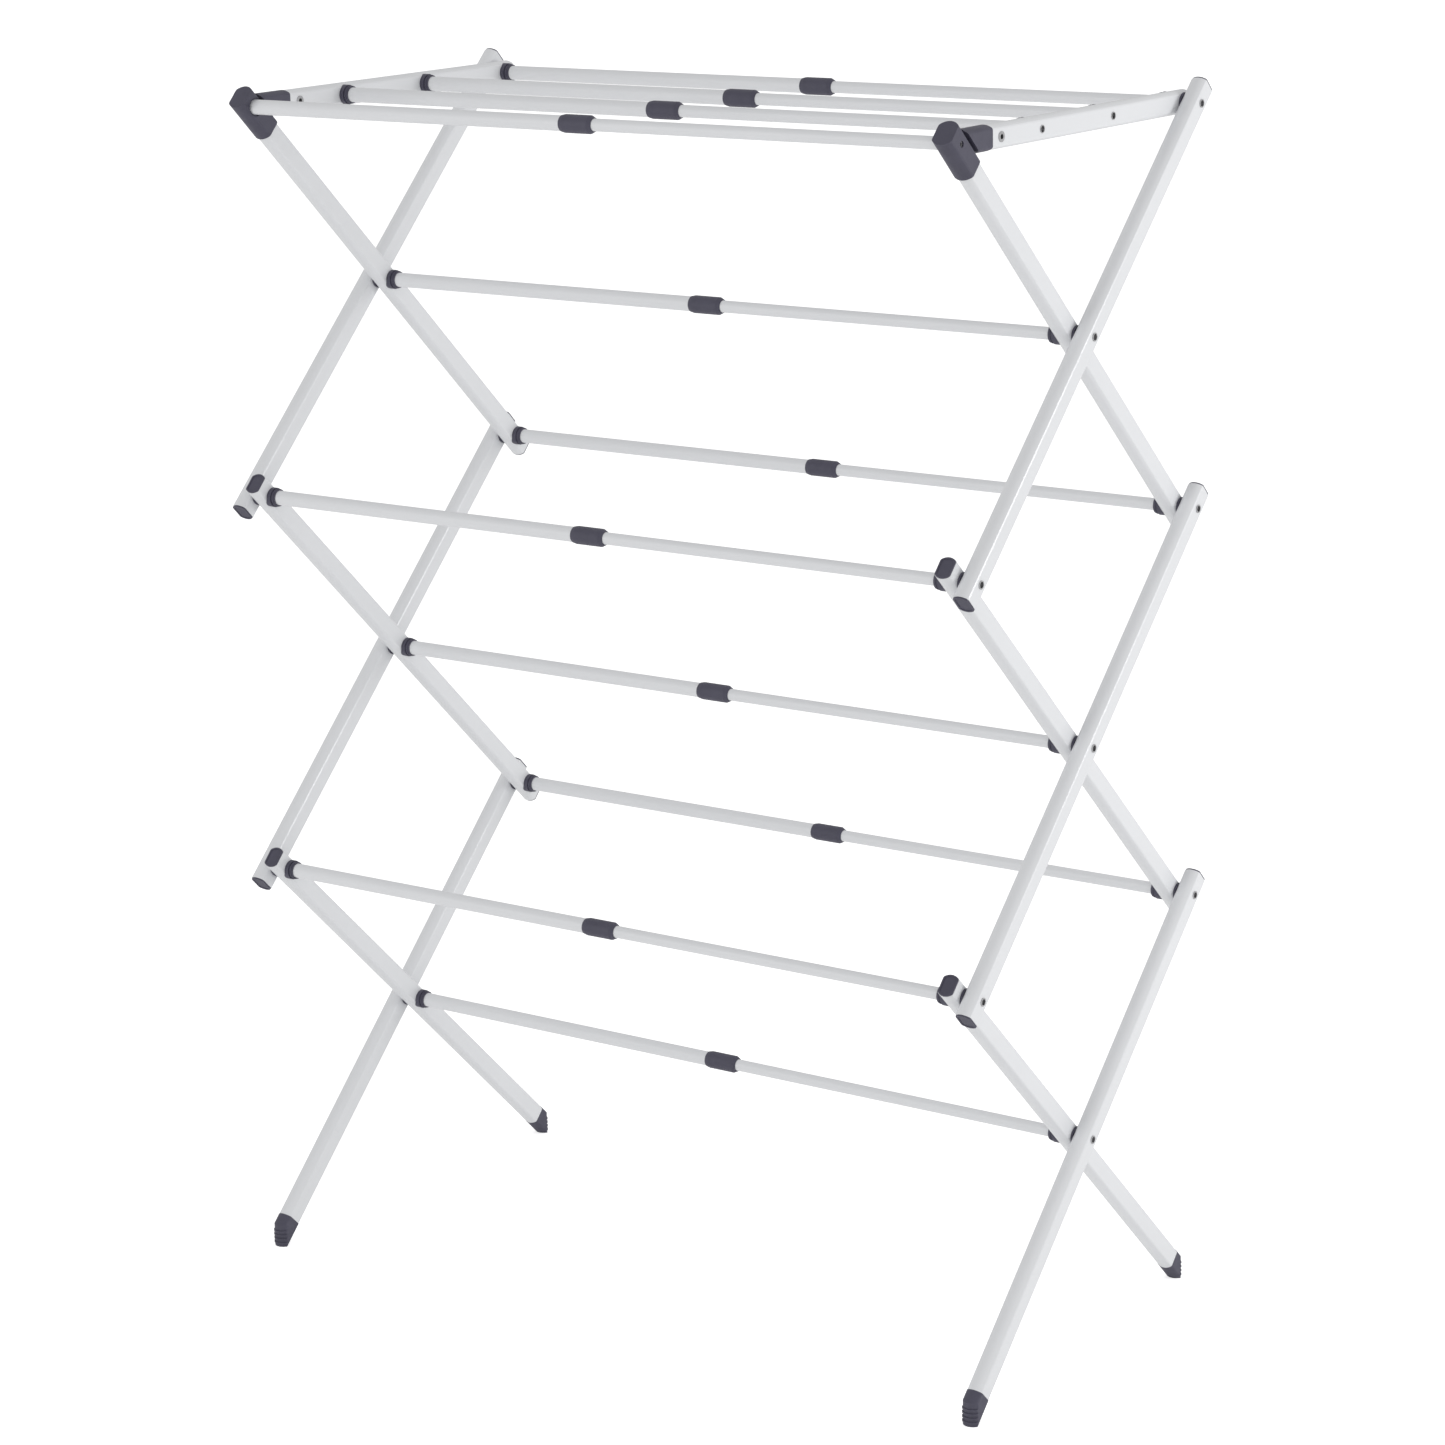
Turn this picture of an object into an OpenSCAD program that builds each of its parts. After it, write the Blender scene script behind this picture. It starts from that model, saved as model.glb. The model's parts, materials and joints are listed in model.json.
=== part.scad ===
// Folding clothes drying rack: two scissor sides joined by telescopic hanging rails, with two lift-up top arms.
// Millimetres, +Z up, X along the rails, -Y the front. Origin on the floor, below the centre of the rack.
// It is drawn standing open, with the rails pulled right out.

/* [Overall] */
// Width between the outer faces of the outer legs
width = 755; // [640:1:900]
// Distance between neighbouring pivots along a leg
pivot_gap = 242; // [230:1:260]
// Lean of the legs from the floor when open, in degrees
lean = 44.3; // [43.5:0.1:45]

/* [Legs] */
// Height of the leg tube, across its round sides
leg_d = 20; // [19.6:0.1:20.2]
// Thickness of the leg tube, across its flats
leg_t = 14.5; // [14:0.1:15]
// Wall of the leg tube
leg_wall = 1; // [0.8:0.1:1.2]
// Gap between the inner and the outer leg
leg_space = 2; // [1.8:0.1:2.4]
// Length of the leg tube past its end pivot
leg_end = 18.7; // [17:0.1:20]
// Height above the floor of the low end of the leg's axis, one pivot distance below the crossing
foot_rise = 21; // [20:0.5:23]

/* [Rails] */
// Diameter of the big rail tube
rail_d = 12.8; // [12.6:0.1:13.2]
// Diameter of the slim rail tube that slides inside the big one
slim_d = 10.4; // [10.2:0.1:10.6]
// Wall of both rail tubes
rail_wall = 0.7; // [0.6:0.1:0.8]
// Length of the coupling in the middle of a rail
coupling_len = 32; // [28:1:40]
// Diameter of the coupling
coupling_d = 15.2; // [15:0.1:16]
// Length of slim tube that stays past the middle when pulled right out
overlap = 26; // [22:1:34]

/* [Fittings] */
// Diameter of the saddle behind each rail end
saddle_d = 17; // [16.4:0.1:17.6]
// Diameter of the shank of every pivot screw
screw_d = 6; // [5.4:0.1:6.2]
// Diameter of the head of every pivot screw
head_d = 7; // [6.8:0.1:9]
// Height of the corner cap, across its round sides
cap_d = 23; // [22.6:0.1:23.2]
// Thickness of the corner cap, across its flats
cap_t = 18; // [17.6:0.1:18.2]

/* [Top arms] */
// Distance from the front rail to the front end of the arm's tube
arm_front = 46.5; // [46:0.5:50]
// Length of the arm's tube past the back rail
arm_back = 10.5; // [9:0.5:14]
// Distance from the front rail to the first rail on the arm
arm_step_front = 120; // [112:1:128]
// Distance from the second rail on the arm to the back rail
arm_step_back = 116; // [108:1:124]

/* [Hidden] */
$fn = 48;
play = 0.05;                // around a pin or tube that turns or slides
side_play = 0.1;            // beside a screw head or washer that turns
free_play = 0.35;           // around the screws of the two free pivots on each side
rise = pivot_gap * sin(lean);
reach = pivot_gap * cos(lean);
top_z = 6 * rise + foot_rise;
outer_x = (width - leg_t) / 2;
inner_x = outer_x - leg_t - leg_space;
inner_face = inner_x - leg_t / 2;
bore_d = rail_d - 2 * rail_wall;
slim_bore_d = slim_d - 2 * rail_wall;
saddle_len = 4;
collar_len = 4;
collar_d = 15;
corner_cut = 0.25;          // depth of the broken corner between a flat and the round
collar_rib = 0.4;           // height of the ridge around the collar
rail_end = inner_face - saddle_len - collar_len;
spigot_len = 15;
screw_end = rail_end - 8;
washer_d = 17;
head_h = 0.6;
socket_d = 5;
arm_screw_rim = 0.2;        // rim of the flush screws in the arm
coupling_taper = 3.5;       // length of the taper at each end of a coupling
coupling_lip = 0.4;         // wall at the wide end, and at the narrow end
coupling_lip_slim = 0.6;
coupling_step = -1.5;       // where its bore narrows from the big tube to the slim one
guide_collar = 5;           // length of a slim tube's guide outside it and inside it
guide_plug = 12;
plug_rim = 1.3;             // how far the cap on a tube's end stands out
plug_edge = 0.6;            // how far that cap reaches over the tube's wall
plug_border = 1.6;          // raised border of that cap
plug_dish = 0.4;            // depth of the dish inside the border
plug_len = 12;
arm_plug_len = arm_back - screw_d / 2 - 1;
foot_over = 0.2;            // how far the foot stands proud of the tube
foot_top = 1.2;             // top edge of the foot, above the low end of the leg's axis
foot_out = 15;              // upright nose of the foot, measured outwards from the same point
foot_plug_len = 24;
nose_d = 16.5;
rib_count = 4;
rib_low = 2.6;
rib_pitch = 3.7;
rib_h = 1.7;
rib_proud = 0.7;
cap_screw_d = 5;            // the screw through the corner cap, and its socket
cap_socket_d = 3;
cap_screw_sink = 1.2;
cap_screw_in = 10;
cap_low = -30;              // lower and upper ends of the corner cap, from the front rail's axis
cap_high = 13;
cap_tube = -25;             // top end of the leg's tube inside the cap
cap_x = inner_x + (leg_t - cap_t) / 2 + 1.4;
cap_dish = 1.5;             // depth and width of the dish around the rail's end in the cap
cap_dish_d = 16;
cap_rail_end = cap_x - cap_t / 2 + cap_dish;
cap_plug_len = 20;
catch_w = 6;                // the tongue on the arm that rests in the cap's pocket
catch_y = 12.4 - reach;
catch_low = -6.7;
catch_high = -1.5;
catch_gap = 0.3;            // around the tongue in its pocket
head_gap = 1.2;             // between the corner cap and the arm's front fitting
head_over = 0.3;            // how far that fitting stands proud of the tube
head_plug_len = 24;
arm_rails = [arm_step_front - reach, reach - arm_step_back];
rivet_y = arm_front - reach + 12.7;
rivet_d = 8.5;
rivet_hole = 4;

// Tiers count from the top: 1, 2 and 3. Levels count in half tiers down from the top rails: 0 to 5.
function level_z(level) = top_z - level * rise;

// The rails that an inner leg carries, as [y, z]: front end, crossing and, except at the bottom, back end.
function tier_rails(tier) = [for (k = [0 : tier < 3 ? 2 : 1]) [(k - 1) * reach, level_z(2 * tier - 2 + k)]];

// Of those, the ones behind an ordinary saddle: the front top rail sits in the corner cap instead.
function saddle_rails(tier) = [for (p = tier_rails(tier)) if (p[1] < top_z - 1) p];

module on_inner_leg(side, tier) {
    translate([side * inner_x, 0, level_z(2 * tier - 1)]) rotate([90 - lean, 0, 0]) children();
}

module on_outer_leg(side, tier) {
    translate([side * outer_x, 0, level_z(2 * tier - 1)]) rotate([lean - 90, 0, 0]) children();
}

module on_arm(side) {
    translate([side * inner_x, 0, top_z]) rotate([90, 0, 0]) children();
}

// A round bar along X between two places.
module cross_bar(d, x0, x1) {
    translate([min(x0, x1), 0, 0]) rotate([0, 90, 0]) cylinder(d = d, h = abs(x1 - x0));
}

// A round section with two flats and broken corners between them.
module flat_section(d, t) {
    turn = acos(t / d) / 2;
    across_corners = d * cos(turn) - 2 * corner_cut;
    intersection() {
        circle(d = d);
        square([t, d + 4], center = true);
        rotate(turn) square([across_corners, d + 4], center = true);
        rotate(-turn) square([across_corners, d + 4], center = true);
    }
}

// A bar of the leg's section, along the leg. A negative grow makes it thinner all round.
module flat_bar(from, to, grow) {
    translate([0, 0, from]) linear_extrude(to - from) flat_section(leg_d + 2 * grow, leg_t + 2 * grow);
}

module flat_tube(from, to) {
    difference() {
        flat_bar(from, to, 0);
        flat_bar(from - 1, to + 1, -leg_wall);
    }
}

module pivot_hole(at, gap) {
    translate([0, 0, at]) cross_bar(screw_d + 2 * gap, -leg_t, leg_t);
}

// A thin cap on the open end of a tube, with a plug inside. up is 1 at the leg's far end, -1 at its near end.
module end_plug(at, up, length) {
    translate([0, 0, at]) mirror([0, 0, up > 0 ? 0 : 1]) {
        difference() {
            flat_bar(0, plug_rim, plug_edge - leg_wall);
            flat_bar(plug_rim - plug_dish, plug_rim + 1, plug_edge - leg_wall - plug_border);
        }
        flat_bar(-length, 0.01, -leg_wall - play);
    }
}

// The bottom legs have no pivot at their low end.
function pivots(tier) = [for (k = [tier < 3 ? -1 : 0 : 1]) k * pivot_gap];

module inner_leg(side, tier) {
    top = tier == 1 ? pivot_gap + cap_tube : pivot_gap + leg_end;
    low = tier == 3 ? foot_top - pivot_gap : -pivot_gap - leg_end;
    color("white") on_inner_leg(side, tier) difference() {
        flat_tube(low, top);
        for (at = pivots(tier)) pivot_hole(at, play);
    }
}

// The free pivot is at the back top end of the two lower outer legs.
module outer_leg(side, tier) {
    low = tier == 3 ? foot_top - pivot_gap : -pivot_gap - leg_end;
    color("white") on_outer_leg(side, tier) difference() {
        flat_tube(low, pivot_gap + leg_end);
        for (at = pivots(tier)) pivot_hole(at, at > 0 && tier > 1 ? free_play : play);
    }
}

module outer_plugs(side, tier) {
    color("dimgray") on_outer_leg(side, tier) {
        end_plug(pivot_gap + leg_end, 1, plug_len);
        if (tier < 3) end_plug(-pivot_gap - leg_end, -1, plug_len);
    }
}

module inner_plugs(side, tier) {
    on_inner_leg(side, tier) {
        if (tier > 1) end_plug(pivot_gap + leg_end, 1, plug_len);
        if (tier < 3) end_plug(-pivot_gap - leg_end, -1, plug_len);
    }
}

// The boot as it stands in line with the leg, before the floor and its upright face cut it.
module boot() {
    flat_bar(-pivot_gap - 2 * foot_rise, foot_top - pivot_gap, foot_over);
}

// The part of the foot that is pushed into the leg.
module foot_plug() {
    flat_bar(foot_top - pivot_gap - 0.01, foot_plug_len - pivot_gap, -leg_wall - play);
}

// The room a foot may fill: upright round nose with ribs, and flat sole. facing is 1 at the back, -1 at the front.
module foot_room(x, facing) {
    height = 3 * foot_rise;
    translate([x, facing * (reach + foot_out - nose_d / 2), 0]) {
        cylinder(d = nose_d, h = height);
        translate([-nose_d / 2, facing > 0 ? -height : 0, 0]) cube([nose_d, height, height]);
        for (k = [0 : rib_count - 1])
            translate([0, 0, rib_low + rib_pitch * k]) cylinder(d = nose_d + 2 * rib_proud, h = rib_h);
    }
}

module back_foot(side) {
    color("dimgray") {
        intersection() {
            on_inner_leg(side, 3) boot();
            foot_room(side * inner_x, 1);
        }
        on_inner_leg(side, 3) foot_plug();
    }
}

module front_foot(side) {
    color("dimgray") {
        intersection() {
            on_outer_leg(side, 3) boot();
            foot_room(side * outer_x, -1);
        }
        on_outer_leg(side, 3) foot_plug();
    }
}

// One rail tube: the big one on the left, the slim one on the right.
module rail(side, start) {
    d = side < 0 ? rail_d : slim_d;
    inner_end = side < 0 ? -2 : -overlap;
    difference() {
        cross_bar(d, side * start, inner_end);
        cross_bar(d - 2 * rail_wall, side * (start + 1), inner_end - 1);
        cross_bar(d - 2 * rail_wall, side * start, inner_end + 1);
    }
}

module tier_rail_tubes(side, tier) {
    color("white") for (p = tier_rails(tier)) translate([0, p[0], p[1]])
        rail(side, p[1] > top_z - 1 ? cap_rail_end : rail_end);
}

module arm_rail_tubes(side) {
    color("white") for (y = arm_rails) translate([0, y, top_z]) rail(side, rail_end);
}

module back_rail_tube(side) {
    color("white") translate([0, reach, top_z]) rail(side, rail_end - 3 * side_play);
}

// The sleeve fixed on the end of the big tube, which the slim tube slides through.
module coupling() {
    half = coupling_len / 2;
    r = coupling_d / 2;
    r_big = rail_d / 2 + play;
    r_slim = slim_d / 2 + play;
    rotate([0, 90, 0]) rotate_extrude() polygon([
        [r_big, -half], [r_big + coupling_lip, -half], [r, coupling_taper - half], [r, half - coupling_taper],
        [r_slim + coupling_lip_slim, half], [r_slim, half], [r_slim, coupling_step], [r_big, coupling_step]
    ]);
}

module tier_couplings(tier) {
    color("dimgray") for (p = tier_rails(tier)) translate([0, p[0], p[1]]) coupling();
}

module arm_couplings() {
    color("dimgray") for (y = arm_rails) translate([0, y, top_z]) coupling();
}

module back_coupling() {
    color("dimgray") translate([0, reach, top_z]) coupling();
}

// The bush on the hidden end of a slim tube, which guides it inside the big one.
module guide() {
    translate([-overlap, 0, 0]) {
        cross_bar(bore_d - 2 * play, -guide_collar, 0);
        cross_bar(slim_bore_d - 2 * play, -0.1, guide_plug);
    }
}

module back_guide() {
    color("dimgray") translate([0, reach, top_z]) guide();
}

// The plastic end of a rail: saddle on the leg, ridged collar and a spigot in the tube. The leg is cut out later.
module rail_bush(side) {
    tube_bore = side < 0 ? bore_d : slim_bore_d;
    collar_start = inner_face - saddle_len;
    mirror([side < 0 ? 1 : 0, 0, 0]) difference() {
        union() {
            cross_bar(saddle_d, inner_face + 2, collar_start);
            cross_bar(collar_d, collar_start + 0.1, rail_end);
            cross_bar(collar_d + 2 * collar_rib, collar_start - 1.6, collar_start - 2.6);
            cross_bar(tube_bore - 2 * play, rail_end + 0.1, rail_end - spigot_len);
        }
        cross_bar(screw_d + 2 * play, inner_face + 3, screw_end - 0.5);
    }
}

module washer(side) {
    x0 = inner_x + leg_t / 2;
    mirror([side < 0 ? 1 : 0, 0, 0]) difference() {
        cross_bar(washer_d, x0, x0 + leg_space - side_play);
        cross_bar(screw_d + 2 * play, x0 - 1, x0 + leg_space + 1);
    }
}

module tier_fittings(side, tier) {
    color("dimgray") {
        difference() {
            for (p = saddle_rails(tier)) translate([0, p[0], p[1]]) rail_bush(side);
            on_inner_leg(side, tier) flat_bar(-1.2 * pivot_gap, 1.2 * pivot_gap, play);
        }
        for (p = saddle_rails(tier)) translate([0, p[0], p[1]]) washer(side);
        inner_plugs(side, tier);
        if (side > 0) for (p = tier_rails(tier)) translate([0, p[0], p[1]]) guide();
    }
}

module arm_fittings(side) {
    color("dimgray") {
        difference() {
            for (y = [arm_rails[0], arm_rails[1], reach]) translate([0, y, top_z]) rail_bush(side);
            on_arm(side) flat_bar(-1.2 * pivot_gap, 1.2 * pivot_gap, play);
        }
        translate([0, reach, top_z]) washer(side);
        on_arm(side) end_plug(-reach - arm_back, -1, arm_plug_len);
        if (side > 0) for (y = arm_rails) translate([0, y, top_z]) guide();
    }
}

// A screw from the outside of the leg at x down into the rail's bush, with a plain round socket.
module screw(side, x, wide) {
    mirror([side < 0 ? 1 : 0, 0, 0]) difference() {
        union() {
            cross_bar(wide, x, x + head_h);
            cross_bar(screw_d, screw_end, x + 0.1);
        }
        cross_bar(socket_d, x - 3, x + head_h + 1);
    }
}

module tier_screws(side, tier) {
    color("silver") {
        for (p = saddle_rails(tier)) translate([0, p[0], p[1]]) screw(side, width / 2 + side_play, head_d);
        if (tier == 1) translate([0, -reach, top_z]) mirror([side < 0 ? 1 : 0, 0, 0]) difference() {
            cross_bar(cap_screw_d, inner_face - cap_screw_in, cap_x + cap_t / 2 - cap_screw_sink);
            cross_bar(cap_socket_d, cap_x + cap_t / 2 - cap_screw_sink - 2, cap_x + cap_t / 2);
        }
    }
}

module arm_screws(side) {
    color("silver") {
        translate([0, reach, top_z]) screw(side, width / 2 + side_play, head_d);
        for (y = arm_rails) translate([0, y, top_z]) screw(side, inner_x + leg_t / 2, screw_d + 2 * arm_screw_rim);
        translate([side * inner_x, rivet_y, top_z]) arm_rivet();
    }
}

// The hollow rivet that holds the arm's front fitting in its tube.
module arm_rivet() {
    face = leg_t / 2;
    difference() {
        union() {
            cross_bar(screw_d, -face - head_h, face + head_h);
            for (k = [-1, 1]) cross_bar(rivet_d, k * face, k * (face + head_h));
        }
        cross_bar(rivet_hole, -leg_t, leg_t);
    }
}

module arm_tube(side) {
    color("white") on_arm(side) difference() {
        flat_tube(-reach - arm_back, reach - arm_front);
        for (y = [arm_rails[0], arm_rails[1], reach, rivet_y]) pivot_hole(-y, play);
    }
}

// The pocket in the corner cap that the arm's tongue drops into, open upwards and to the back.
module catch_pocket(side) {
    translate([side * inner_x - catch_w / 2 - catch_gap, catch_y - catch_gap, top_z + catch_low - catch_gap])
        cube([catch_w + 2 * catch_gap, cap_d * 2, cap_d * 2]);
}

module corner_cap(side) {
    spigot_d = side < 0 ? bore_d : slim_bore_d;
    color("dimgray") difference() {
        union() {
            difference() {
                translate([side * (cap_x - inner_x), 0, 0]) on_inner_leg(side, 1)
                    translate([0, 0, pivot_gap + cap_low]) linear_extrude(cap_high - cap_low)
                        flat_section(cap_d, cap_t);
                on_inner_leg(side, 1) flat_bar(0, pivot_gap + cap_tube, play);
                catch_pocket(side);
                translate([0, -reach, top_z])
                    cross_bar(cap_dish_d, side * cap_rail_end, side * (cap_rail_end - cap_t / 2));
            }
            on_inner_leg(side, 1)
                flat_bar(pivot_gap + cap_tube - cap_plug_len, pivot_gap + cap_tube + 0.1, -leg_wall - play);
            translate([0, -reach, top_z])
                cross_bar(spigot_d - 2 * play, side * (cap_rail_end + 0.1), side * (cap_rail_end - spigot_len));
        }
        translate([0, -reach, top_z])
            cross_bar(cap_screw_d + 2 * play, side * (inner_face - cap_screw_in - 0.5), side * (cap_x + cap_t));
    }
}

// The plastic fitting on the front end of the arm, cut to lie along the corner cap.
module arm_head(side) {
    tube_y = arm_front - reach;
    high = leg_d / 2 + head_over;
    face = cap_d / 2 + head_gap;
    function face_y(z) = (face - z * cos(lean)) / sin(lean) - reach;
    color("dimgray") {
        intersection() {
            on_arm(side) flat_bar(-tube_y, reach, head_over);
            translate([side * inner_x - leg_t, 0, top_z]) rotate([90, 0, 90]) linear_extrude(2 * leg_t) polygon([
                [face_y(high - 1.5), high - 1.5], [face_y(high) + 1.5, high], [tube_y - 2, high],
                [tube_y, high - 2], [tube_y, 2 - high], [tube_y - 2, -high], [face_y(-high) + 3, -high],
                [face_y(2 - high), 2 - high]
            ]);
        }
        translate([side * inner_x - catch_w / 2, catch_y, top_z + catch_low])
            cube([catch_w, face_y(0) + 2 - catch_y, catch_high - catch_low]);
        difference() {
            on_arm(side) flat_bar(-tube_y - head_plug_len, 0.1 - tube_y, -leg_wall - play);
            translate([side * inner_x, rivet_y, top_z]) cross_bar(screw_d + 2 * play, -leg_t, leg_t);
        }
    }
}

inner_leg(-1, 3);  // leg_bottom_inner_left
inner_leg(-1, 2);  // leg_middle_inner_left
inner_leg(-1, 1);  // leg_top_inner_left
outer_leg(-1, 3);  // leg_bottom_outer_left
outer_leg(-1, 2);  // leg_middle_outer_left
outer_leg(-1, 1);  // leg_top_outer_left
arm_tube(-1);  // arm_tube_left
inner_leg(1, 3);  // leg_bottom_inner_right
inner_leg(1, 2);  // leg_middle_inner_right
inner_leg(1, 1);  // leg_top_inner_right
outer_leg(1, 3);  // leg_bottom_outer_right
outer_leg(1, 2);  // leg_middle_outer_right
outer_leg(1, 1);  // leg_top_outer_right
arm_tube(1);  // arm_tube_right
back_foot(-1);  // foot_back_left
front_foot(-1);  // foot_front_left
back_foot(1);  // foot_back_right
front_foot(1);  // foot_front_right
corner_cap(-1);  // corner_cap_left
corner_cap(1);  // corner_cap_right
arm_head(-1);  // arm_head_left
arm_head(1);  // arm_head_right
tier_rail_tubes(-1, 3);  // rails_bottom_left
tier_rail_tubes(-1, 2);  // rails_middle_left
tier_rail_tubes(-1, 1);  // rails_top_left
arm_rail_tubes(-1);  // rails_arm_left
back_rail_tube(-1);  // rail_back_left
tier_rail_tubes(1, 3);  // rails_bottom_right
tier_rail_tubes(1, 2);  // rails_middle_right
tier_rail_tubes(1, 1);  // rails_top_right
arm_rail_tubes(1);  // rails_arm_right
back_rail_tube(1);  // rail_back_right
tier_couplings(3);  // couplings_bottom
tier_couplings(2);  // couplings_middle
tier_couplings(1);  // couplings_top
arm_couplings();  // couplings_arm
back_coupling();  // coupling_back
back_guide();  // guide_back
tier_fittings(-1, 3);  // fittings_bottom_left
tier_fittings(-1, 2);  // fittings_middle_left
tier_fittings(-1, 1);  // fittings_top_left
arm_fittings(-1);  // fittings_arm_left
tier_fittings(1, 3);  // fittings_bottom_right
tier_fittings(1, 2);  // fittings_middle_right
tier_fittings(1, 1);  // fittings_top_right
arm_fittings(1);  // fittings_arm_right
outer_plugs(-1, 3);  // plug_bottom_left
outer_plugs(-1, 2);  // plugs_middle_left
outer_plugs(-1, 1);  // plugs_top_left
outer_plugs(1, 3);  // plug_bottom_right
outer_plugs(1, 2);  // plugs_middle_right
outer_plugs(1, 1);  // plugs_top_right
tier_screws(-1, 3);  // screws_bottom_left
tier_screws(-1, 2);  // screws_middle_left
tier_screws(-1, 1);  // screws_top_left
arm_screws(-1);  // screws_arm_left
tier_screws(1, 3);  // screws_bottom_right
tier_screws(1, 2);  // screws_middle_right
tier_screws(1, 1);  // screws_top_right
arm_screws(1);  // screws_arm_right
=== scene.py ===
"""A folding clothes drying rack, standing open on a pale studio floor. Metres, in the CAD frame."""

import json
import math

import bpy
from mathutils import Matrix, Vector

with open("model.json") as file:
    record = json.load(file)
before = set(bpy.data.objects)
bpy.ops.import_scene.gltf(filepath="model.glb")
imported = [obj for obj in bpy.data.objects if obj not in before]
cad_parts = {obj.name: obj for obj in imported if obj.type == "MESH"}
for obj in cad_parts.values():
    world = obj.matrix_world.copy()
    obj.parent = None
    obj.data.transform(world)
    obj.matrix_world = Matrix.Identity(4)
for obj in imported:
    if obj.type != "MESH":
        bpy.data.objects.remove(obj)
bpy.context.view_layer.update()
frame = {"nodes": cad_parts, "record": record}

MM = 0.001

# The camera stands to the right of the rack's front and a little above it.
CAMERA_PLACE = Vector((1.990, -2.784, 1.365))
CAMERA_YAW = math.radians(35.47)
CAMERA_PITCH = math.radians(14.17)
CAMERA_ROLL = math.radians(-1.19)
CAMERA_LENS = 101.1
SENSOR = 36.0

WHITE_PAINT = (0.80, 0.81, 0.83)
DARK_PLASTIC = (0.068, 0.065, 0.098)
STEEL = (0.52, 0.52, 0.53)
EDGE_ROUNDS = {"white_paint": 0.25 * MM, "dark_plastic": 0.4 * MM, "steel": 0.12 * MM}
EDGE_ANGLE = math.radians(35)

# Noise seldom leaves this span, so patterns are stretched over it.
NOISE_LOW = 0.3
NOISE_HIGH = 0.7

# Each pair: the strength that the camera sees, and the strength that lights the rack.
FLOOR_GLOW = (0.60, 0.10)
WORLD_GLOW = (1.0, 0.62)


def new_material(name):
    """A material, with its shader and the object's own coordinates, in which every pattern is laid."""
    material = bpy.data.materials.new(name)
    material.use_nodes = True
    tree = material.node_tree
    place = tree.nodes.new("ShaderNodeTexCoord").outputs["Object"]
    return material, tree, tree.nodes["Principled BSDF"], place


def noise(tree, place, scale, detail):
    texture = tree.nodes.new("ShaderNodeTexNoise")
    texture.inputs["Scale"].default_value = scale
    texture.inputs["Detail"].default_value = detail
    tree.links.new(place, texture.inputs["Vector"])
    return texture.outputs["Fac"]


def colour_from(tree, pattern, low, high):
    ramp = tree.nodes.new("ShaderNodeValToRGB")
    start, end = ramp.color_ramp.elements
    start.position, end.position = NOISE_LOW, NOISE_HIGH
    start.color, end.color = (*low, 1), (*high, 1)
    tree.links.new(pattern, ramp.inputs["Fac"])
    return ramp.outputs["Color"]


def value_from(tree, pattern, low, high):
    remap = tree.nodes.new("ShaderNodeMapRange")
    remap.inputs["From Min"].default_value = NOISE_LOW
    remap.inputs["From Max"].default_value = NOISE_HIGH
    remap.inputs["To Min"].default_value = low
    remap.inputs["To Max"].default_value = high
    tree.links.new(pattern, remap.inputs["Value"])
    return remap.outputs["Result"]


def relief_from(tree, pattern, height, strength):
    relief = tree.nodes.new("ShaderNodeBump")
    relief.inputs["Distance"].default_value = height
    relief.inputs["Strength"].default_value = strength
    tree.links.new(pattern, relief.inputs["Height"])
    return relief.outputs["Normal"]


def seen_and_lit(tree, seen, lit):
    """One strength for what the camera sees, and another for the light that a surface gives."""
    direct = tree.nodes.new("ShaderNodeLightPath").outputs["Is Camera Ray"]
    strength = tree.nodes.new("ShaderNodeMapRange")
    strength.inputs["To Min"].default_value = lit
    strength.inputs["To Max"].default_value = seen
    tree.links.new(direct, strength.inputs["Value"])
    return strength.outputs["Result"]


def shaded(colour, factor):
    return tuple(channel * factor for channel in colour)


def paint():
    """White powder coat: a smooth gloss skin with a faint orange peel and slight unevenness."""
    material, tree, shader, place = new_material("white_paint")
    colour = colour_from(tree, noise(tree, place, 14, 3), shaded(WHITE_PAINT, 0.985), WHITE_PAINT)
    roughness = value_from(tree, noise(tree, place, 40, 2), 0.28, 0.34)
    peel = relief_from(tree, noise(tree, place, 600, 1), 0.02 * MM, 0.25)
    tree.links.new(colour, shader.inputs["Base Color"])
    tree.links.new(roughness, shader.inputs["Roughness"])
    tree.links.new(peel, shader.inputs["Normal"])
    shader.inputs["Coat Weight"].default_value = 0.3
    shader.inputs["Coat Roughness"].default_value = 0.12
    return material


def plastic():
    """Dark moulded plastic: matte, with a fine spark-eroded grain and faint flow marks."""
    material, tree, shader, place = new_material("dark_plastic")
    flow = noise(tree, place, 60, 4)
    colour = colour_from(tree, flow, shaded(DARK_PLASTIC, 0.92), shaded(DARK_PLASTIC, 1.06))
    roughness = value_from(tree, noise(tree, place, 180, 2), 0.46, 0.56)
    grain = relief_from(tree, noise(tree, place, 2200, 2), 0.05 * MM, 0.4)
    tree.links.new(colour, shader.inputs["Base Color"])
    tree.links.new(roughness, shader.inputs["Roughness"])
    tree.links.new(grain, shader.inputs["Normal"])
    return material


def steel():
    """Bare steel with fine scratches."""
    material, tree, shader, place = new_material("steel")
    scratches = noise(tree, place, 900, 3)
    tree.links.new(colour_from(tree, scratches, shaded(STEEL, 0.85), STEEL), shader.inputs["Base Color"])
    tree.links.new(value_from(tree, scratches, 0.28, 0.42), shader.inputs["Roughness"])
    shader.inputs["Metallic"].default_value = 1.0
    return material


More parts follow.
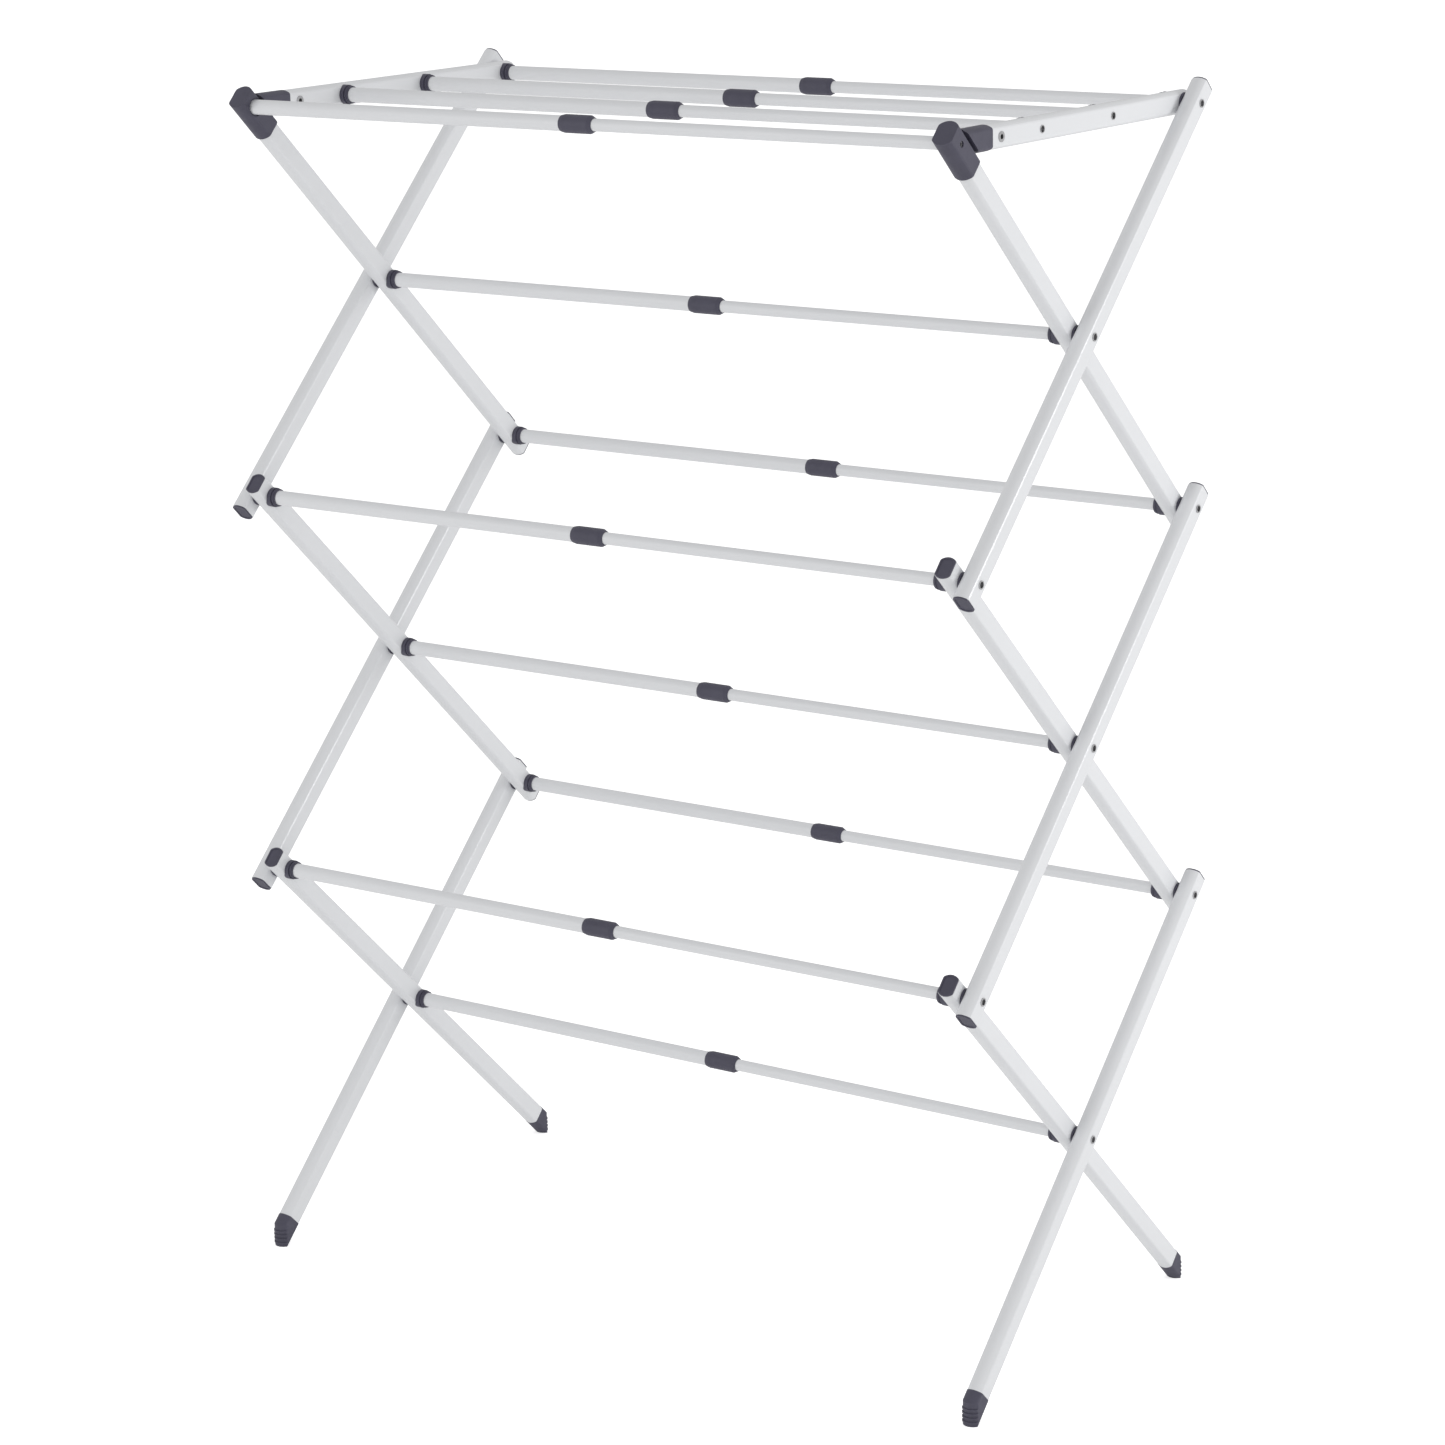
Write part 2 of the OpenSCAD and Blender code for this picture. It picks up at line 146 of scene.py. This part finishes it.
def dress_nodes():
    """Gives every CAD node its finish, and the small round on its edges that the real piece has."""
    finishes = {"white_paint": paint(), "dark_plastic": plastic(), "steel": steel()}
    slots = {part["node"]: part["material_slot"] for part in frame["record"]["subparts"]}
    for name, piece in frame["nodes"].items():
        for holder in piece.material_slots:
            holder.material = finishes[slots[name]]
        edge = piece.modifiers.new("edge", "BEVEL")
        edge.width = EDGE_ROUNDS[slots[name]]
        edge.segments = 3
        edge.limit_method = "ANGLE"
        edge.angle_limit = EDGE_ANGLE
        edge.harden_normals = True


def add_camera():
    ahead = Vector((
        -math.sin(CAMERA_YAW) * math.cos(CAMERA_PITCH),
        math.cos(CAMERA_YAW) * math.cos(CAMERA_PITCH),
        -math.sin(CAMERA_PITCH),
    ))
    level = Vector((math.cos(CAMERA_YAW), math.sin(CAMERA_YAW), 0))
    above = level.cross(ahead)
    right = math.cos(CAMERA_ROLL) * level + math.sin(CAMERA_ROLL) * above
    up = math.cos(CAMERA_ROLL) * above - math.sin(CAMERA_ROLL) * level
    data = bpy.data.cameras.new("camera")
    data.lens = CAMERA_LENS
    data.sensor_width = SENSOR
    camera = bpy.data.objects.new("camera", data)
    turn = Matrix((right, up, -ahead)).transposed().to_4x4()
    camera.matrix_world = Matrix.Translation(CAMERA_PLACE) @ turn
    bpy.context.scene.collection.objects.link(camera)
    bpy.context.scene.camera = camera


def add_floor():
    """A white floor that keeps a faint shadow. Its slight glow makes it run into the background."""
    bpy.ops.mesh.primitive_plane_add(size=40, location=(0, 0, 0))
    floor = bpy.context.object
    floor.name = "floor"
    material, tree, shader, place = new_material("floor")
    colour = colour_from(tree, noise(tree, place, 0.8, 2), (0.93, 0.93, 0.93), (0.95, 0.95, 0.95))
    tree.links.new(colour, shader.inputs["Base Color"])
    shader.inputs["Roughness"].default_value = 0.9
    shader.inputs["Emission Color"].default_value = (1, 1, 1, 1)
    tree.links.new(seen_and_lit(tree, *FLOOR_GLOW), shader.inputs["Emission Strength"])
    floor.data.materials.append(material)


def area_light(name, place, target, size, power):
    data = bpy.data.lights.new(name, "AREA")
    data.size = size
    data.energy = power
    light = bpy.data.objects.new(name, data)
    light.location = place
    light.rotation_euler = (Vector(target) - Vector(place)).to_track_quat("-Z", "Y").to_euler()
    bpy.context.scene.collection.objects.link(light)


def add_light():
    """Soft white surroundings, plain white to the camera and dimmer as a light, with two soft lamps."""
    world = bpy.data.worlds.new("studio")
    world.use_nodes = True
    tree = world.node_tree
    background = tree.nodes["Background"]
    background.inputs["Color"].default_value = (1, 1, 1, 1)
    tree.links.new(seen_and_lit(tree, *WORLD_GLOW), background.inputs["Strength"])
    bpy.context.scene.world = world
    area_light("key", (2.6, 0.8, 1.2), (0.3, 0, 0.55), 0.8, 19)
    area_light("fill", (-1.2, -3.2, 1.4), (0, 0, 0.6), 2.5, 16)


bpy.context.scene.view_settings.view_transform = "Standard"
dress_nodes()
add_camera()
add_floor()
add_light()
